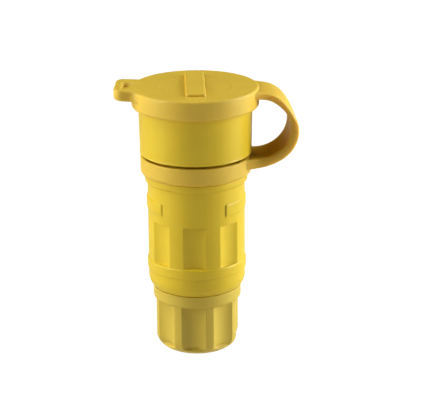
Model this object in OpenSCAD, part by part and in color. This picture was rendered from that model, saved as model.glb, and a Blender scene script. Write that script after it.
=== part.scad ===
// Watertight locking power connector, female, with a tethered closure cap.
// It stands on its cord nut: the axis is Z, the nut's base is at z = 0 and the strap is on the +X side.

/* [Cord nut] */
// Height of the compression nut
nut_height = 33.5; // [30:0.1:37]
// Diameter over the lands between the flutes
nut_d = 42.8; // [41.6:0.1:44]
// Diameter of the collar at the top of the nut
nut_collar_d = 44.8; // [44:0.1:46]
// Height of the collar
nut_collar_height = 5.5; // [4:0.1:8]
// Rounding of the collar's lower edge
collar_edge = 1; // [0.4:0.1:2]
// Rounding of the nut's domed lower end
nut_edge = 8; // [4:0.1:8.5]
// Width of one flute
nut_flute_width = 12.4; // [10:0.1:13]
// Depth of one flute
nut_flute_depth = 2.1; // [1.6:0.1:2.4]
// Turn of the nut as it was tightened
nut_turn = -5; // [-22:1:22]
// Thickness of the inward lip that pushes on the washer
nut_lip = 10; // [8:0.1:11]
// Diameter of the cord hole in the lip
nut_hole_d = 24.4; // [22:0.1:25]
// Thickness of the friction washer
washer_thickness = 1.5; // [1:0.1:2]
// Diameter of the hole in the friction washer
washer_hole_d = 18; // [17:0.1:20]

/* [Cord grommet] */
// Diameter of the cord that the grommet is made for
cord_d = 15.5; // [10:0.1:17]
// Outer diameter of the grommet
grommet_d = 26.4; // [25:0.1:27]
// Depth of the grommet's seat in the tail
gland_depth = 17; // [14:0.1:18]
// Thickness of the housing between the grommet and the wiring space
gland_floor = 8; // [5:0.1:12]
// Diameter of the cord's way from the grommet to the wiring space
passage_d = 19; // [17:0.1:22]

/* [Housing] */
// Gap between the tail and the washer, in which the grommet is squeezed
tail_gap = 1.5; // [1:0.1:3]
// Outer diameter of the tail
tail_d = 32.8; // [31.4:0.1:33]
// Gap between the nut and the grip
seam_gap = 0.9; // [0.5:0.1:1.5]
// Diameter of the grip
body_d = 49.2; // [48.4:0.1:50]
// Height over which the grip's foot curves in
foot_curve = 5.1; // [3:0.1:7]
// Radius of that curve
foot_curve_r = 8; // [7.5:0.5:14]
// Height of the grip under the lower band
foot_height = 9.1; // [7:0.1:12]
// Height of the lower band
lower_band_height = 6; // [4:0.1:8]
// Height of the flutes
flute_height = 21.4; // [16:0.1:28]
// Width of one flute
flute_width = 11.5; // [9:0.1:12.5]
// Depth of one flute
flute_depth = 1.4; // [1.1:0.1:1.8]
// Turn of the flutes round the axis
flute_turn = -2; // [-10:0.5:10]
// Height of the plain part over the flutes
waist_height = 3.8; // [2:0.1:6]
// Height of the upper band
upper_band_height = 7.8; // [5:0.1:9]
// Rise of both bands over the grip
band_rise = 0.55; // [0.3:0.05:0.7]
// Height over which a band slopes back to the grip on its lower side
band_slope = 2; // [0.8:0.1:3]
// Angle of the bare window in the upper band
window_angle = 82; // [60:1:100]
// Height of the plain part over the upper band
shoulder_height = 6.7; // [5:0.1:11]
// Height of the flange under the ring
flange_height = 4.2; // [2.5:0.1:5]
// Diameter of the flange
flange_d = 52; // [51:0.1:53]
// Rounding of the flange's lower edge
flange_edge = 1.8; // [0.5:0.1:2]
// Height of the retaining ring
ring_height = 9.4; // [8:0.1:10]
// Gap between the ring and the cup
ring_gap = 1.5; // [0.8:0.1:2]
// Height of the cup
cup_height = 30.7; // [27:0.1:34]
// Diameter of the cup's lower edge
cup_foot_d = 56.2; // [55:0.1:56.6]
// Diameter of the cup's rim
cup_rim_d = 57.4; // [57:0.1:57.8]
// Diameter of the cup's bore
cup_bore_d = 50; // [49:0.1:51]
// Thickness of the cup's floor
cup_floor = 4.7; // [3:0.1:6]
// Wall of the grip
body_wall = 4.4; // [3.8:0.1:4.8]

/* [Contact module] */
// Diameter of the face
face_d = 39.2; // [38.4:0.1:39.4]
// Depth of the face under the cup's rim
face_recess = 11; // [8:0.1:13]
// Diameter of the front insulator's flange
module_flange_d = 43.6; // [42.6:0.1:44]
// Height of that flange
module_flange_height = 6; // [4:0.1:7]
// Height of the rear insulator
rear_height = 16; // [15:0.1:18]
// Thickness of the module gasket
gasket_thickness = 1; // [0.6:0.1:1.6]
// Thickness of the mouth seal
seal_thickness = 2; // [1:0.1:3]
// Mean radius of the locking slots
slot_r = 9.2; // [8.8:0.1:9.6]
// Width of a locking slot
slot_width = 2.4; // [2:0.1:2.8]
// Angle that a locking slot covers
slot_angle = 60; // [50:1:66]
// Angle that the wider neutral slot covers
neutral_slot_angle = 72; // [66:1:76]
// Turn of the face round the axis
face_turn = -7.5; // [-15:0.5:15]
// Thickness of the brass in the contacts
contact_thickness = 0.8; // [0.6:0.1:1]
// Diameter of the assembly screws
assembly_screw_d = 3.5; // [3:0.1:4]
// Length of the assembly screws
assembly_screw_length = 46; // [44:0.5:50]
// Diameter of the terminal screws
terminal_screw_d = 3.4; // [3:0.1:4]

/* [Cap and strap] */
// Diameter of the cap
cap_d = 63.8; // [63:0.1:65]
// Thickness of the cap's top
cap_thickness = 3.2; // [2.6:0.1:4.5]
// Depth of the skirt under the cup's rim
skirt_depth = 6.2; // [5:0.1:6.6]
// Rounding of the skirt's lower edge
skirt_edge = 2; // [1:0.1:2.2]
// Rounding of the cap's upper edge
cap_edge = 1.3; // [0.6:0.1:2]
// Diameter of the recess on the cap's top
cap_recess_d = 37.6; // [34:0.1:42]
// Depth of that recess
cap_recess_depth = 0.6; // [0.4:0.1:0.9]
// Width of the raised bar in the recess
bar_width = 10; // [8:0.1:14]
// Length of the bar
bar_length = 42; // [30:0.5:46]
// Rise of the bar over the recess
bar_rise = 1.9; // [1.2:0.1:2.4]
// Rounding of the bar's edges
bar_edge = 0.9; // [0.4:0.1:1.1]
// Reach of the pull tab past the cap
tab_reach = 8.9; // [8:0.1:12]
// Width of the pull tab
tab_width = 24.2; // [20:0.1:26]
// Thickness of the pull tab
tab_thickness = 6.2; // [5:0.1:6.8]
// Angle at which the pull tab rises outward
tab_tilt = 3.2; // [0:0.1:5]
// Rounding of the pull tab's edges
tab_edge = 1.4; // [0.6:0.1:1.9]
// Wall left between the finger recess and the tab's outer end
tab_rim = 3.6; // [2.5:0.1:5]
// Width of the finger recess at its outer end
tab_recess_width = 13.2; // [10:0.1:15]
// Length of the finger recess, from its outer end to its point
tab_recess_length = 11.2; // [9:0.1:13]
// Depth of the finger recess at the tab's outer end
tab_recess_depth = 2.3; // [1.5:0.1:2.6]
// Width of the strap
strap_width = 26.8; // [24:0.1:32]
// Thickness of the strap
strap_thickness = 4; // [3:0.1:4.2]
// Drop of the strap's middle under the cap's top
strap_drop = 2.9; // [2.6:0.1:3.4]
// Height of the strap's middle over the flange
strap_rise = 6.8; // [5:0.1:7.2]
// Rounding of the retaining ring's upper edge
ring_upper_edge = 1.2; // [0.4:0.1:1.6]
// Rounding of the retaining ring's lower edge
ring_lower_edge = 2.4; // [1:0.1:2.8]
// Wall of the retaining ring
ring_wall = 3.3; // [2.8:0.1:3.5]
// Turn of the cap, strap and ring round the axis
cap_turn = 2.5; // [-10:0.5:10]

/* [Clearances] */
// Radial play of the nut on the tail
thread_play = 0.3; // [0.2:0.05:0.5]
// Radial play between the cap's skirt and the cup
skirt_play = 0.85; // [0.8:0.05:1]
// Radial play between the cap's inner lip and the cup's bore
lip_play = 1.3; // [1.2:0.05:1.6]
// Gap between the cap's underside and the cup's rim
rim_play = 0.2; // [0.1:0.05:0.3]
// Play of the pieces that are pushed into place
seat_play = 0.1; // [0.05:0.05:0.2]
// Gap between the strap's end and the cap
strap_play = 0.2; // [0.1:0.05:0.3]

/* [Hidden] */
$fn = 96;

// Heights up the axis
washer_z = nut_lip;
grommet_z = washer_z + washer_thickness;
body_z = nut_height + seam_gap;
tail_z = grommet_z + tail_gap;
gland_z = tail_z + gland_depth;
lower_band_z = body_z + foot_height;
flute_z = lower_band_z + lower_band_height;
waist_z = flute_z + flute_height;
upper_band_z = waist_z + waist_height;
shoulder_z = upper_band_z + upper_band_height;
flange_z = shoulder_z + shoulder_height;
ring_z = flange_z + flange_height;
cup_z = ring_z + ring_height + ring_gap;
floor_z = cup_z + cup_floor;
rim_z = cup_z + cup_height;
cap_z = rim_z + cap_thickness;
face_z = rim_z - face_recess;
module_z = floor_z - module_flange_height;
seat_z = module_z - gasket_thickness;
rear_z = module_z - rear_height;

// Radii and widths that follow from the sizes above
cavity_r = body_d / 2 - body_wall;
cavity_z = gland_z + gland_floor;
face_r = face_d / 2;
module_flange_r = module_flange_d / 2;
neck_r = body_d / 2;
ring_r = neck_r + seat_play + ring_wall;
cap_r = cap_d / 2;
skirt_bore_r = cup_rim_d / 2 + skirt_play;
edge_break = 0.5;
flute_count = 8;
all_round = [for (i = [0 : flute_count - 1]) i * 360 / flute_count];
front_and_back = [for (a = all_round) if (a % 180 != 90) a + flute_turn];
flute_rest = 0.3;
over = 1;
grommet_lead = 1.5;

// The strap's loop is nearly half a circle between its two roots
strap_root = 0.4;
loop_inset = 0.3;
strap_top_z = cap_z - strap_drop;
strap_foot_z = ring_z + strap_rise;
loop_r = (strap_top_z - strap_foot_z) / 2;
loop_x = cap_r - loop_inset;
strap_edge = 0.9;
loop_cut = asin((loop_inset + strap_root + strap_play) / loop_r);

// The cap's inner lip and the outlines of its pull tab
lip_wall = 1.4;
lip_drop = 2;
tab_corner = tab_width / 4;
tab_blend = 4;
tab_recess_corner = 2.2;

// The contact module, with one contact every 120 degrees and the screws between them
line_at = 90 + face_turn;
neutral_at = line_at + 120;
ground_at = line_at + 240;
screw_angles = [line_at - 60, line_at + 60, line_at + 180];
terminal_angles = [line_at, neutral_at, ground_at];
slot_face = 2.5;
contact_play = 0.2;
sleeve_play = 1.4;
hook_reach = 1.8;
hook_turn = 8;
leaf_height = face_z - slot_face - contact_play - module_z;
leaf_in_r = slot_r - slot_width / 2 - contact_thickness;
leaf_out_r = slot_r + slot_width / 2 + contact_thickness;
base_thickness = 1.2;
base_trim = 4;
pocket_spread = 6;

// The terminals: a lug on each contact, its clamp plate and its screw
lug_step = 0.8;
lug_x = leaf_out_r + lug_step;
lug_thickness = 1.2;
lug_drop = 12;
lug_half = 4.5;
terminal_drop = 7.5;
terminal_z = module_z - terminal_drop;
terminal_play = 0.7;
terminal_roof = 2;
clamp_thickness = 1.5;
clamp_half = 4.2;
clamp_height = 8;
terminal_head_r = 3.3;
terminal_head = 2.5;
terminal_reach = 3.5;
wire_r = 2.2;
wire_x = lug_x + lug_thickness + 1.2;

// The assembly screws and the pillars that take them
screw_ring_r = 15.2;
screw_head_r = 3.1;
screw_head = 2.4;
screw_head_edge = 0.6;
screw_slot = 0.9;
screw_slot_depth = 1;
screw_sink = 0.6;
screw_top_z = face_z - screw_sink - screw_head;
insert_wall = 0.9;
insert_r = assembly_screw_d / 2 + insert_wall;
insert_length = 8;
pillar_wall = 1.4;
pillar_r = insert_r + pillar_wall;
pillar_foot = 3;
pillar_floor = 1;
pillar_z = screw_top_z - assembly_screw_length - pillar_foot;

// Half a turned outline with rounded outer corners, from the axis to r and from 0 to h
module turned_outline(r, h, upper, lower) {
    translate([0, lower]) square([r, h - upper - lower]);
    square([r - lower, h - upper]);
    translate([0, lower]) square([r - upper, h - lower]);
    if (lower > 0) translate([r - lower, lower]) circle(lower);
    if (upper > 0) translate([r - upper, h - upper]) circle(upper);
}

// A turned block with rounded outer edges
module turned(r, h, upper, lower) {
    rotate_extrude() turned_outline(r, h, upper, lower);
}

// A plain ring
module ring(outer_r, inner_r, h) {
    rotate_extrude() translate([inner_r, 0]) square([outer_r - inner_r, h]);
}

// A piece of a ring that covers an angle, centred on +X
module arc_ring(outer_r, inner_r, h, angle) {
    rotate_extrude(angle = angle, start = -angle / 2) translate([inner_r, 0]) square([outer_r - inner_r, h]);
}

// A rectangle with rounded corners, centred on the origin
module rounded_rect(width, height, radius) {
    square([width - 2 * radius, height], center = true);
    square([width, height - 2 * radius], center = true);
    for (x = [-1, 1], y = [-1, 1])
        translate([x * (width / 2 - radius), y * (height / 2 - radius)]) circle(radius);
}

// Height of the round of a bar over a chord of this width
function crown(r, width) = r - sqrt(r * r - width * width / 4);

// Radius of the round cutter that leaves a flute of this width and depth in a round bar
function cutter_r(r, width, depth) =
    let (sink = depth - crown(r, width)) (width * width / 4 + sink * sink) / (2 * sink);

// Round cutters for flutes in a bar, at these angles from the front
module flute_cutters(r, width, depth, z, h, angles) {
    cut_r = cutter_r(r, width, depth);
    for (a = angles)
        rotate([0, 0, a - 90]) translate([r - depth + cut_r, 0, z]) cylinder(r = cut_r, h = h);
}

// A raised band with a crisp upper edge, whose lower side slopes back to the grip
module sloped_band(h) {
    r = body_d / 2;
    rotate_extrude() polygon([
        [0, 0], [r, 0], [r + band_rise, band_slope], [r + band_rise, h], [0, h]
    ]);
}

// The foot of the grip, which curves in toward the nut
module grip_foot() {
    r = body_d / 2;
    rotate_extrude() intersection() {
        square([r, foot_curve]);
        translate([r - foot_curve_r, foot_curve]) circle(foot_curve_r);
    }
}

// The grip's outside, without the flutes
module grip_form() {
    r = body_d / 2;
    translate([0, 0, body_z]) grip_foot();
    translate([0, 0, body_z + foot_curve]) cylinder(r = r, h = cup_z - body_z - foot_curve);
    translate([0, 0, lower_band_z]) sloped_band(lower_band_height);
    translate([0, 0, upper_band_z]) difference() {
        sloped_band(upper_band_height);
        rotate([0, 0, -90]) arc_ring(r + 2 * band_rise, r, upper_band_height, window_angle);
    }
    translate([0, 0, flange_z]) turned(flange_d / 2, flange_height, edge_break, flange_edge);
}

// The cup's outside, with a little draft
module cup_form() {
    foot_r = cup_foot_d / 2;
    rim_r = cup_rim_d / 2;
    translate([0, 0, cup_z]) rotate_extrude() polygon([
        [0, 0], [foot_r - edge_break, 0], [foot_r, edge_break],
        [rim_r, cup_height - edge_break], [rim_r - edge_break, cup_height], [0, cup_height]
    ]);
}

// The round spaces inside the housing, from the tail to the mouth
module housing_bores() {
    translate([0, 0, tail_z]) cylinder(d = grommet_d + 2 * seat_play, h = gland_depth);
    translate([0, 0, gland_z]) cylinder(d = passage_d, h = cavity_z - gland_z);
    translate([0, 0, cavity_z]) cylinder(r = cavity_r, h = seat_z - cavity_z);
    translate([0, 0, seat_z]) cylinder(r = module_flange_r + seat_play, h = floor_z - seat_z);
    translate([0, 0, floor_z]) cylinder(d = cup_bore_d, h = rim_z - floor_z);
}

// A pillar in the wiring space that carries the module and takes one assembly screw
module pillar() {
    difference() {
        union() {
            translate([screw_ring_r, 0, pillar_z]) cylinder(r = pillar_r, h = rear_z - pillar_z);
            translate([screw_ring_r, -pillar_r / 2, pillar_z])
                cube([cavity_r + body_wall / 4 - screw_ring_r, pillar_r, rear_z - pillar_z]);
        }
        translate([screw_ring_r, 0, rear_z - insert_length]) cylinder(r = insert_r, h = insert_length);
        translate([screw_ring_r, 0, pillar_z + pillar_floor])
            cylinder(d = assembly_screw_d, h = rear_z - pillar_z);
    }
}

module housing() {
    color("gold") {
        difference() {
            union() {
                grip_form();
                cup_form();
                translate([0, 0, tail_z]) cylinder(d = tail_d, h = body_z + foot_curve - tail_z);
            }
            flute_cutters(
                body_d / 2, flute_width, flute_depth, flute_z + flute_rest, flute_height - flute_rest,
                front_and_back
            );
            housing_bores();
        }
        for (a = screw_angles) rotate([0, 0, a]) pillar();
    }
}

module compression_nut() {
    collar_z = nut_height - nut_collar_height;
    color("khaki") rotate([0, 0, nut_turn]) difference() {
        union() {
            difference() {
                turned(nut_d / 2, nut_height, 0, nut_edge);
                flute_cutters(nut_d / 2, nut_flute_width, nut_flute_depth, -over, collar_z + over, all_round);
            }
            translate([0, 0, collar_z]) turned(nut_collar_d / 2, nut_collar_height, edge_break, collar_edge);
        }
        translate([0, 0, nut_lip]) cylinder(r = tail_d / 2 + thread_play, h = nut_height);
        cylinder(d = nut_hole_d, h = nut_lip + over);
    }
}

module friction_washer() {
    color("silver") translate([0, 0, washer_z])
        ring(tail_d / 2 - seat_play, washer_hole_d / 2, washer_thickness);
}

module cord_grommet() {
    height = gland_z - grommet_z;
    color("dimgray") translate([0, 0, grommet_z]) difference() {
        turned(grommet_d / 2, height, edge_break, edge_break);
        cylinder(d = cord_d, h = height);
        cylinder(d1 = cord_d + 2 * grommet_lead, d2 = cord_d, h = grommet_lead);
    }
}

// The hook on the ground slot, which turns inward at one end
module ground_hook(h) {
    rotate([0, 0, slot_angle / 2 - hook_turn])
        translate([slot_r - slot_width / 2 - hook_reach, -slot_width / 2, 0])
            cube([slot_width + hook_reach, slot_width, h]);
}

// The space behind a slot that a contact stands in
module contact_pocket(angle) {
    play = contact_play;
    arc_ring(leaf_out_r + play, leaf_in_r - play, leaf_height + play, angle + pocket_spread);
    arc_ring(lug_x + lug_thickness + play, leaf_in_r - play, base_thickness + play, angle + pocket_spread);
    translate([lug_x - play, -lug_half - play, 0])
        cube([lug_thickness + 2 * play, 2 * (lug_half + play), base_thickness + play]);
}

// The way in through the face for one blade
module blade_slot(angle) {
    arc_ring(slot_r + slot_width / 2, slot_r - slot_width / 2, face_z - module_z, angle);
}

module front_insulator() {
    height = face_z - module_z;
    color("black") translate([0, 0, module_z]) difference() {
        union() {
            turned(face_r, height, edge_break, 0);
            cylinder(r = module_flange_r, h = module_flange_height);
        }
        for (a = terminal_angles) rotate([0, 0, a]) {
            angle = a == neutral_at ? neutral_slot_angle : slot_angle;
            contact_pocket(angle);
            blade_slot(angle);
            if (a == ground_at) translate([0, 0, leaf_height]) ground_hook(height - leaf_height);
        }
        for (a = screw_angles) rotate([0, 0, a]) translate([screw_ring_r, 0, 0]) {
            cylinder(r = assembly_screw_d / 2 + contact_play, h = height);
            translate([0, 0, screw_top_z - module_z])
                cylinder(r = screw_head_r + contact_play, h = height);
        }
    }
}

// The open pocket on the rear insulator's side that holds one terminal
module terminal_pocket() {
    wall_x = lug_x - seat_play;
    inside = lug_drop - terminal_roof + over;
    half = lug_half + terminal_play;
    screw_hole_x = wall_x - terminal_reach - over;
    translate([wall_x, -half, rear_height - terminal_roof - inside]) cube([face_r, 2 * half, inside]);
    translate([wall_x, -lug_half - seat_play, rear_height - terminal_roof])
        cube([lug_thickness + 2 * seat_play, 2 * (lug_half + seat_play), terminal_roof]);
    translate([screw_hole_x, 0, terminal_z - rear_z]) rotate([0, 90, 0])
        cylinder(d = terminal_screw_d + 2 * seat_play, h = terminal_reach + 2 * over);
    translate([wire_x, 0, 0]) cylinder(r = wire_r, h = rear_height / 2);
}

module rear_insulator() {
    color("darkslategray") translate([0, 0, rear_z]) difference() {
        cylinder(r = face_r, h = rear_height);
        for (a = terminal_angles) rotate([0, 0, a]) terminal_pocket();
        for (a = screw_angles) rotate([0, 0, a]) translate([screw_ring_r, 0, 0])
            cylinder(r = assembly_screw_d / 2 + contact_play, h = rear_height);
    }
}

// A folded brass contact: two curved leaves on a foot, and a terminal lug down from the foot
module contact(angle) {
    translate([0, 0, module_z]) difference() {
        union() {
            arc_ring(leaf_in_r + contact_thickness, leaf_in_r, leaf_height, angle);
            arc_ring(leaf_out_r, leaf_out_r - contact_thickness, leaf_height, angle);
            arc_ring(lug_x + lug_thickness, leaf_in_r, base_thickness, angle - base_trim);
            translate([lug_x, -lug_half, -lug_drop])
                cube([lug_thickness, 2 * lug_half, lug_drop + base_thickness]);
        }
        translate([lug_x - over, 0, terminal_z - module_z]) rotate([0, 90, 0])
            cylinder(d = terminal_screw_d + 2 * seat_play, h = lug_thickness + 2 * over);
    }
}

module line_contact() {
    color("goldenrod") rotate([0, 0, line_at]) contact(slot_angle);
}

module neutral_contact() {
    color("goldenrod") rotate([0, 0, neutral_at]) contact(neutral_slot_angle);
}

module ground_contact() {
    color("goldenrod") rotate([0, 0, ground_at]) contact(slot_angle);
}

// The plate that a terminal screw presses onto the wire
module clamp_plate() {
    clamp_x = lug_x + lug_thickness;
    translate([clamp_x, 0, terminal_z]) difference() {
        translate([0, -clamp_half, -clamp_height / 2]) cube([clamp_thickness, 2 * clamp_half, clamp_height]);
        translate([-over, 0, 0]) rotate([0, 90, 0])
            cylinder(d = terminal_screw_d + 2 * seat_play, h = clamp_thickness + 2 * over);
    }
}

module line_clamp() {
    color("silver") rotate([0, 0, line_at]) clamp_plate();
}

module neutral_clamp() {
    color("silver") rotate([0, 0, neutral_at]) clamp_plate();
}

module ground_clamp() {
    color("silver") rotate([0, 0, ground_at]) clamp_plate();
}

// A slotted screw along +Z, with its head's seat at z = 0 and its shank below
module slotted_screw(shank_d, shank, head_r, head) {
    difference() {
        turned(head_r, head, screw_head_edge, 0);
        translate([-head_r, -screw_slot / 2, head - screw_slot_depth])
            cube([2 * head_r, screw_slot, screw_slot_depth + over]);
    }
    translate([0, 0, -shank]) cylinder(d = shank_d, h = shank);
}

module terminal_screws() {
    seat_x = lug_x + lug_thickness + clamp_thickness;
    shank = lug_thickness + clamp_thickness + terminal_reach;
    color("lightgray") for (a = terminal_angles) rotate([0, 0, a])
        translate([seat_x, 0, terminal_z]) rotate([0, 90, 0])
            slotted_screw(terminal_screw_d, shank, terminal_head_r, terminal_head);
}

module assembly_screws() {
    color("lightgray") for (a = screw_angles) rotate([0, 0, a])
        translate([screw_ring_r, 0, screw_top_z])
            slotted_screw(assembly_screw_d - 2 * seat_play, assembly_screw_length, screw_head_r, screw_head);
}

module threaded_inserts() {
    color("goldenrod") for (a = screw_angles) rotate([0, 0, a])
        translate([screw_ring_r, 0, rear_z - insert_length])
            ring(insert_r, assembly_screw_d / 2, insert_length);
}

module module_gasket() {
    color("dimgray") translate([0, 0, seat_z])
        ring(module_flange_r, face_r + contact_play, gasket_thickness);
}

module mouth_seal() {
    color("dimgray") translate([0, 0, floor_z])
        ring(cup_bore_d / 2 - contact_play, face_r + sleeve_play, seal_thickness);
}

// The pull tab seen from above, with rounded outer corners
module tab_plan() {
    length = cap_r + tab_reach - cap_r / 2;
    translate([-cap_r - tab_reach + length / 2, 0]) rounded_rect(length, tab_width, tab_corner);
}

// The two hollow blends between the pull tab's sides and the cap's edge
module tab_blends() {
    half = tab_width / 2;
    sunk_r = cap_r - tab_edge / 6;
    blend_x = sqrt((sunk_r + tab_blend) * (sunk_r + tab_blend) - (half + tab_blend) * (half + tab_blend));
    meet = (sunk_r - tab_blend / 4) / (sunk_r + tab_blend);
    for (side = [-1, 1]) difference() {
        polygon([
            [-blend_x, side * half], [-blend_x * meet, side * (half + tab_blend) * meet],
            [-blend_x * meet + tab_blend, side * half / 2], [-blend_x, side * half / 2]
        ]);
        translate([-blend_x, side * (half + tab_blend)]) circle(tab_blend);
    }
}

// The pull tab: its plan, with the outer end and the sides rounded over
module tab_form() {
    reach = cap_r + tab_reach;
    blend_height = tab_thickness - tab_edge;
    intersection() {
        translate([0, 0, cap_z - tab_thickness]) linear_extrude(tab_thickness) tab_plan();
        translate([0, 0, cap_z - tab_thickness / 2]) rotate([90, 0, 0])
            linear_extrude(tab_width, center = true) rounded_rect(2 * reach, tab_thickness, tab_edge);
        translate([0, 0, cap_z - tab_thickness / 2]) rotate([90, 0, 90])
            linear_extrude(2 * reach, center = true) rounded_rect(tab_width, tab_thickness, tab_edge);
    }
    translate([0, 0, cap_z - tab_thickness + tab_edge / 2]) linear_extrude(blend_height) tab_blends();
}

// The finger recess seen from above: two round corners outside and a point toward the cap
module tab_recess_plan() {
    side = tab_recess_width / 2 - tab_recess_corner;
    away = [tab_recess_corner - tab_recess_length, side];
    lean = atan2(away.y, away.x) - asin(tab_recess_corner / norm(away));
    along = sqrt(norm(away) * norm(away) - tab_recess_corner * tab_recess_corner);
    touch = [tab_recess_length + along * cos(lean), along * sin(lean)];
    polygon([
        [tab_recess_length, 0], touch, [tab_recess_corner, side], [0, side],
        [0, -side], [tab_recess_corner, -side], [touch.x, -touch.y]
    ]);
    for (y = [-side, side]) translate([tab_recess_corner, y]) circle(tab_recess_corner);
}

// The finger recess on the pull tab, deep at its outer end and running out toward the cap
module tab_recess() {
    slope = atan(tab_recess_depth / tab_recess_length);
    translate([tab_rim - cap_r - tab_reach, 0, cap_z - tab_recess_depth]) rotate([0, -slope, 0])
        linear_extrude(tab_thickness) tab_recess_plan();
}

// Turns the pull tab up about a line across the cap's top, halfway to its edge
module tilted() {
    translate([-cap_r / 2, 0, cap_z]) rotate([0, tab_tilt, 0]) translate([cap_r / 2, 0, -cap_z]) children();
}

// The raised bar across the cap's top, with rounded upper edges
module cap_bar() {
    intersection() {
        rotate([90, 0, 0]) linear_extrude(bar_length, center = true)
            rounded_rect(bar_width, 2 * bar_rise, bar_edge);
        rotate([90, 0, 90]) linear_extrude(bar_width, center = true)
            rounded_rect(bar_length, 2 * bar_rise, bar_edge);
        cylinder(d = cap_d, h = bar_rise);
    }
}

// The strap's section where it leaves the cap or the ring, along +X from x0 to x1
module strap_stub(x0, x1, z) {
    translate([x0, 0, z]) rotate([90, 0, 90]) linear_extrude(x1 - x0)
        rounded_rect(strap_width, strap_thickness, strap_edge);
}

module closure_cap() {
    lip_r = cup_bore_d / 2 - lip_play;
    color("khaki") rotate([0, 0, cap_turn]) {
        difference() {
            union() {
                translate([0, 0, rim_z - skirt_depth])
                    turned(cap_r, skirt_depth + cap_thickness, cap_edge, skirt_edge);
                tilted() tab_form();
                strap_stub(cap_r - strap_width / 4, cap_r + strap_root, strap_top_z);
            }
            translate([0, 0, rim_z - skirt_depth]) cylinder(r = skirt_bore_r, h = skirt_depth + rim_play);
            translate([0, 0, cap_z - cap_recess_depth]) cylinder(d = cap_recess_d, h = cap_thickness);
            tilted() tab_recess();
        }
        translate([0, 0, cap_z - cap_recess_depth]) cap_bar();
        translate([0, 0, rim_z - lip_drop]) ring(lip_r, lip_r - lip_wall, lip_drop + rim_play + edge_break);
    }
}

module cap_strap() {
    color("khaki") rotate([0, 0, cap_turn]) {
        translate([loop_x, 0, strap_foot_z + loop_r]) rotate([90, 0, 0])
            rotate_extrude(angle = 180 - loop_cut, start = -90) translate([loop_r, 0])
                rounded_rect(strap_thickness, strap_width, strap_edge);
        strap_stub(ring_r + strap_root, loop_x, strap_foot_z);
    }
}

module retaining_ring() {
    color("khaki") rotate([0, 0, cap_turn]) translate([0, 0, ring_z]) difference() {
        union() {
            turned(ring_r, ring_height, ring_upper_edge, ring_lower_edge);
            strap_stub(ring_r - strap_width / 4, ring_r + strap_root, strap_foot_z - ring_z);
        }
        cylinder(r = neck_r + seat_play, h = ring_height);
    }
}

housing();
compression_nut();
friction_washer();
cord_grommet();
front_insulator();
rear_insulator();
line_contact();
neutral_contact();
ground_contact();
line_clamp();
neutral_clamp();
ground_clamp();
terminal_screws();
assembly_screws();
threaded_inserts();
module_gasket();
mouth_seal();
closure_cap();
cap_strap();
retaining_ring();
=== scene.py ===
import math

import bmesh
import bpy
import numpy as np
from mathutils import Euler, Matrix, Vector


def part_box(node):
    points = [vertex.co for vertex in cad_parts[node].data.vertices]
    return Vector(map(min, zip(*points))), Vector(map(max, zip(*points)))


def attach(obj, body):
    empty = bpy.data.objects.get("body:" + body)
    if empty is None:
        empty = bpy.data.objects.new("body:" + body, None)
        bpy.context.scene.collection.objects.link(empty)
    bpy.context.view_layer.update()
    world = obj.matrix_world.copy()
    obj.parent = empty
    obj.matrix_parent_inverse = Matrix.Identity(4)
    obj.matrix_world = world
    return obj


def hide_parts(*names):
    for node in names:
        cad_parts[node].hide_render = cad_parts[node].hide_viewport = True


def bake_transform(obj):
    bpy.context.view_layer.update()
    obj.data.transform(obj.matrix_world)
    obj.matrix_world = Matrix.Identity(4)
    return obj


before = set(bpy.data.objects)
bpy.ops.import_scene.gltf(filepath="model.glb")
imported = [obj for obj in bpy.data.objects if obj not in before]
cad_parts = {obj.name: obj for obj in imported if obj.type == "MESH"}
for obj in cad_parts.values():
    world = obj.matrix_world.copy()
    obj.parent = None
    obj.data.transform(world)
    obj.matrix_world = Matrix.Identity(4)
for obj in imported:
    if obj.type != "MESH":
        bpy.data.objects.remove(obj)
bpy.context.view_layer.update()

MM = 0.001

# Camera, at the photograph's height and angle
IMAGE_WIDTH_PX = 423
FOCAL_LENGTH_PX = 1917
SENSOR_WIDTH_MM = 36
CAMERA_PLACE_MM = (7.72, -926, 383)
CAMERA_PITCH_DEG = 18.26
CAMERA_ROLL_DEG = -0.46

# Turns about the upright axis, with the front of the part toward the camera
FRONT_DEG = -90
CAP_TURN_DEG = 1.4
STRAP_TURN_DEG = 3.8
NUT_TURN_DEG = -5
FLUTE_TURN_DEG = -2
WINDOW_TURN_DEG = -3.5

# Sizes of the housing's grip in millimetres, from its foot up
SEAM_GAP = 0.12
GRIP_R = 24.6
FOOT_CURVE = 5.88
FOOT_CURVE_R = 8
FOOT_EDGE = 0.5
FOOT_HEIGHT = 9.88
LOWER_BAND_HEIGHT = 5.5
FLUTE_COUNT = 8
FLUTE_HEIGHT = 21.9
FLUTE_WIDTH = 11.5
FLUTE_DEPTH = 1.6
WAIST_HEIGHT = 3.8
UPPER_BAND_HEIGHT = 7.2
BAND_RISE = 0.55
BAND_SLOPE = 2
BAND_EDGE = 0.7
LEDGE_EDGE = 1.2
WINDOW_DEG = 79.5
WINDOW_CORNER = 1.2
WINDOW_EDGE = 1.0
SHOULDER_HEIGHT = 7.3
FLANGE_R = 26
FLANGE_EDGE = 1.8
FLANGE_TOP_EDGE = 0.5

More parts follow.
